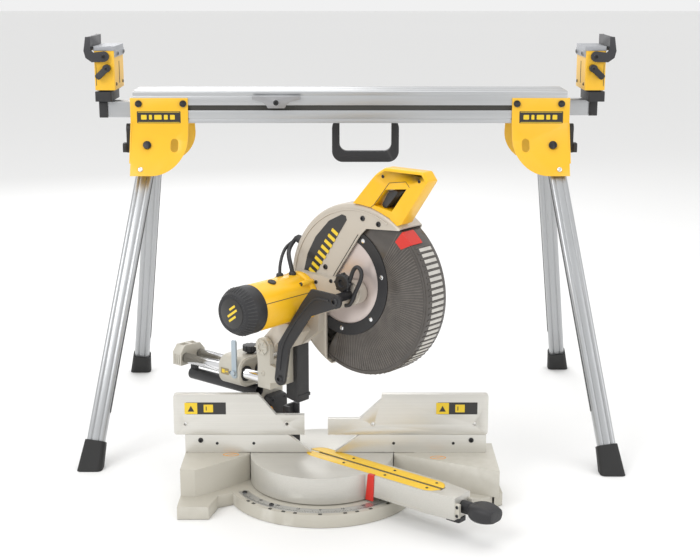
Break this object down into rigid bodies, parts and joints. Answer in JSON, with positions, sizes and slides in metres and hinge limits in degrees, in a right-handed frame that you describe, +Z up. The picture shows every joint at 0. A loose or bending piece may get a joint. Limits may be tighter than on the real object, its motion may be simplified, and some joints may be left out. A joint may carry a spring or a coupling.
{
  "type": "sliding compound mitre saw with folding stand",
  "caption": "Sliding compound mitre saw with turning table, tilting and chopping head, set down in front of its folding extending stand with work supports.",
  "frame": {"origin": "on the floor at the middle of the whole arrangement's footprint", "axes": "+X right along the stand's beam, +Y back from the saw to the stand, +Z up"},
  "size_m": [1.232, 1.236, 0.938],
  "materials": {
    "beam_aluminium": "extruded, satin anodised",
    "bracket_yellow": "powder coat",
    "black_plastic": "fine moulded grain",
    "black_bolt": "black oxide",
    "leg_aluminium": "extruded, satin",
    "foot_rubber": "moulded",
    "tube_aluminium": "extruded, satin",
    "clamp_metal": "die cast",
    "cap_grey": "moulded",
    "stop_grey": "moulded",
    "base_casting": "painted casting, light beige",
    "table_casting": "machined face on a casting",
    "fence_aluminium": "machined casting",
    "kerf_yellow": "moulded",
    "pointer_red": "moulded",
    "carrier_casting": "painted casting, light beige",
    "strap_metal": "painted strip",
    "lever_orange": "moulded",
    "rail_steel": "ground and polished",
    "guard_casting": "painted casting, light beige",
    "smoked_guard": "smoked, ribbed",
    "hub_pale": "pressed plate",
    "motor_yellow": "moulded",
    "blade_steel": "ground",
    "shaft_steel": "turned"
  },
  "bodies": {
    "stand": {"beam": "beam_aluminium", "carry_handle": "black_plastic", "bracket_left": "bracket_yellow", "bracket_right": "bracket_yellow", "bracket_bolts": "black_bolt"},
    "leg_front_left": {"leg_front_left": "leg_aluminium", "foot_front_left": "foot_rubber"},
    "leg_rear_left": {"leg_rear_left": "leg_aluminium", "foot_rear_left": "foot_rubber"},
    "leg_front_right": {"leg_front_right": "leg_aluminium", "foot_front_right": "foot_rubber"},
    "leg_rear_right": {"leg_rear_right": "leg_aluminium", "foot_rear_right": "foot_rubber"},
    "extension_left": {"extension_tube_left": "tube_aluminium", "support_base_left": "black_plastic"},
    "riser_left": {"support_riser_left": "bracket_yellow", "support_top_left": "cap_grey"},
    "flip_stop_left": {"flip_stop_left": "stop_grey"},
    "cam_lever_left": {"cam_lever_left": "black_plastic"},
    "leg_lever_left": {"leg_lever_left": "black_plastic"},
    "extension_right": {"extension_tube_right": "tube_aluminium", "support_base_right": "black_plastic"},
    "riser_right": {"support_riser_right": "bracket_yellow", "support_top_right": "cap_grey"},
    "flip_stop_right": {"flip_stop_right": "stop_grey"},
    "cam_lever_right": {"cam_lever_right": "black_plastic"},
    "leg_lever_right": {"leg_lever_right": "black_plastic"},
    "extension_lock_front": {"extension_lock_front": "clamp_metal"},
    "extension_lock_rear": {"extension_lock_rear": "clamp_metal"},
    "saw": {"saw_base": "base_casting", "fence_base_left": "fence_aluminium", "fence_base_right": "fence_aluminium"},
    "fence_left": {"sliding_fence_left": "fence_aluminium"},
    "fence_right": {"sliding_fence_right": "fence_aluminium"},
    "table": {"turntable": "table_casting", "kerf_plates": "kerf_yellow", "mitre_pointer": "pointer_red", "trunnion": "black_plastic"},
    "mitre_handle": {"mitre_handle": "black_plastic"},
    "mitre_latch": {"mitre_latch": "black_plastic"},
    "bevel_lever": {"bevel_lever": "lever_orange"},
    "tilt": {"bevel_carrier": "carrier_casting", "side_strap": "strap_metal"},
    "rail_lock_knob": {"rail_lock_knob": "black_plastic"},
    "carriage": {"slide_rails": "rail_steel", "rear_bracket": "carrier_casting", "dust_tube": "black_plastic", "yoke": "carrier_casting"},
    "head": {"upper_guard": "guard_casting", "grip_handle": "motor_yellow", "motor_housing": "motor_yellow", "motor_cap": "black_plastic", "guard_link": "black_plastic", "motor_lead": "black_plastic"},
    "trigger": {"trigger": "black_plastic"},
    "blade": {"blade": "blade_steel", "arbor": "shaft_steel"},
    "armature": {"armature": "shaft_steel"},
    "swing_guard": {"lower_guard": "smoked_guard", "hub_plate": "hub_pale"}
  },
  "joints": [
    {"name": "leg_front_left_fold", "type": "hinge", "parent": "stand", "child": "leg_front_left", "pos_m": [-0.473, 0.15254, 0.68344], "axis": [0, 0.8973, -0.4414], "range_deg": [-98, 0]},
    {"name": "leg_rear_left_fold", "type": "hinge", "parent": "stand", "child": "leg_rear_left", "pos_m": [-0.473, 0.23212, 0.68344], "axis": [0, 0.8973, 0.4414], "range_deg": [-98, 0]},
    {"name": "leg_front_right_fold", "type": "hinge", "parent": "stand", "child": "leg_front_right", "pos_m": [0.473, 0.12992, 0.69456], "axis": [0, -0.8973, 0.4414], "range_deg": [-79, 0]},
    {"name": "leg_rear_right_fold", "type": "hinge", "parent": "stand", "child": "leg_rear_right", "pos_m": [0.473, 0.25474, 0.69456], "axis": [0, -0.8973, -0.4414], "range_deg": [-79, 0]},
    {"name": "extension_left_slide", "type": "slide", "parent": "stand", "child": "extension_left", "axis": [-1, 0, 0], "range_m": [0, 0.75]},
    {"name": "riser_left_slide", "type": "slide", "parent": "extension_left", "child": "riser_left", "axis": [0, 0, 1], "range_m": [0, 0.06]},
    {"name": "flip_stop_left_swing", "type": "hinge", "parent": "riser_left", "child": "flip_stop_left", "pos_m": [-0.57, 0.19233, 0.893], "axis": [0, -1, 0], "range_deg": [0, 38]},
    {"name": "cam_lever_left_turn", "type": "hinge", "parent": "riser_left", "child": "cam_lever_left", "pos_m": [-0.564, 0.12783, 0.866], "axis": [0, -1, 0], "range_deg": [0, 80]},
    {"name": "leg_lever_left_swing", "type": "hinge", "parent": "stand", "child": "leg_lever_left", "pos_m": [-0.527, 0.17233, 0.72], "axis": [1, 0, 0], "range_deg": [0, 45]},
    {"name": "extension_right_slide", "type": "slide", "parent": "stand", "child": "extension_right", "axis": [1, 0, 0], "range_m": [0, 0.75]},
    {"name": "riser_right_slide", "type": "slide", "parent": "extension_right", "child": "riser_right", "axis": [0, 0, 1], "range_m": [0, 0.06]},
    {"name": "flip_stop_right_swing", "type": "hinge", "parent": "riser_right", "child": "flip_stop_right", "pos_m": [0.57, 0.19233, 0.893], "axis": [0, 1, 0], "range_deg": [0, 38]},
    {"name": "cam_lever_right_turn", "type": "hinge", "parent": "riser_right", "child": "cam_lever_right", "pos_m": [0.564, 0.12783, 0.866], "axis": [0, 1, 0], "range_deg": [0, 80]},
    {"name": "leg_lever_right_swing", "type": "hinge", "parent": "stand", "child": "leg_lever_right", "pos_m": [0.527, 0.17233, 0.72], "axis": [1, 0, 0], "range_deg": [0, 45]},
    {"name": "extension_lock_front_turn", "type": "hinge", "parent": "stand", "child": "extension_lock_front", "pos_m": [-0.172, 0.12233, 0.788], "axis": [0, -1, 0], "range_deg": [0, 30]},
    {"name": "extension_lock_rear_turn", "type": "hinge", "parent": "stand", "child": "extension_lock_rear", "pos_m": [0.172, 0.26233, 0.788], "axis": [0, 1, 0], "range_deg": [0, 30]},
    {"name": "saw_lift", "type": "slide", "parent": "stand", "child": "saw", "axis": [0, 0, 1], "range_m": [0, 0.82]},
    {"name": "fence_left_slide", "type": "slide", "parent": "saw", "child": "fence_left", "axis": [1, 0, 0], "range_m": [-0.09, 0]},
    {"name": "fence_right_slide", "type": "slide", "parent": "saw", "child": "fence_right", "axis": [1, 0, 0], "range_m": [0, 0.09]},
    {"name": "mitre_turn", "type": "hinge", "parent": "saw", "child": "table", "pos_m": [-0.06, -0.31467, 0.03], "axis": [0, 0, 1], "range_deg": [-100, 10]},
    {"name": "mitre_handle_turn", "type": "hinge", "parent": "table", "child": "mitre_handle", "pos_m": [0.2311, -0.55893, 0.062], "axis": [0.766, -0.6428, 0], "range_deg": [0, 90]},
    {"name": "mitre_latch_press", "type": "slide", "parent": "table", "child": "mitre_latch", "axis": [0, 0, -1], "range_m": [0, 0.006], "stiffness_N_per_m": 400, "springref_m": -0.006},
    {"name": "bevel_lever_turn", "type": "hinge", "parent": "table", "child": "bevel_lever", "pos_m": [-0.16215, -0.24723, 0.112], "axis": [-0.766, 0.6428, 0], "range_deg": [0, 35]},
    {"name": "bevel_tilt", "type": "hinge", "parent": "table", "child": "tilt", "pos_m": [-0.17261, -0.22018, 0.086], "axis": [-0.766, 0.6428, 0], "range_deg": [-6, 48]},
    {"name": "rail_lock_turn", "type": "hinge", "parent": "tilt", "child": "rail_lock_knob", "pos_m": [-0.21441, -0.23732, 0.289], "axis": [0, 0, 1], "range_deg": [0, 270]},
    {"name": "rail_slide", "type": "slide", "parent": "tilt", "child": "carriage", "axis": [-0.766, 0.6428, 0], "range_m": [-0.118, 0.045]},
    {"name": "chop", "type": "hinge", "parent": "carriage", "child": "head", "pos_m": [-0.15881, -0.30486, 0.325], "axis": [-0.6428, -0.766, 0], "range_deg": [-59.5, 0], "stiffness_Nm_per_rad": 40, "springref_deg": 51.57},
    {"name": "trigger_pull", "type": "hinge", "parent": "head", "child": "trigger", "pos_m": [0.09612, -0.4522, 0.673], "axis": [0.6428, 0.766, 0], "range_deg": [0, 8], "stiffness_Nm_per_rad": 0.6, "springref_deg": -11.46},
    {"name": "blade_spin", "type": "hinge", "parent": "head", "child": "blade", "pos_m": [0.0258, -0.38666, 0.46], "axis": [-0.6428, -0.766, 0], "continuous": true},
    {"name": "armature_spin", "type": "hinge", "parent": "head", "child": "armature", "pos_m": [-0.14343, -0.37521, 0.435], "axis": [-0.6428, -0.766, 0], "continuous": true},
    {"name": "guard_swing", "type": "hinge", "parent": "head", "child": "swing_guard", "pos_m": [0.0258, -0.38666, 0.46], "axis": [-0.6428, -0.766, 0], "range_deg": [0, 166]}
  ],
  "couplings": [
    {"joint": "armature_spin", "follows": "blade_spin", "ratio": 3},
    {"joint": "guard_swing", "follows": "chop", "ratio": -2.77}
  ]
}
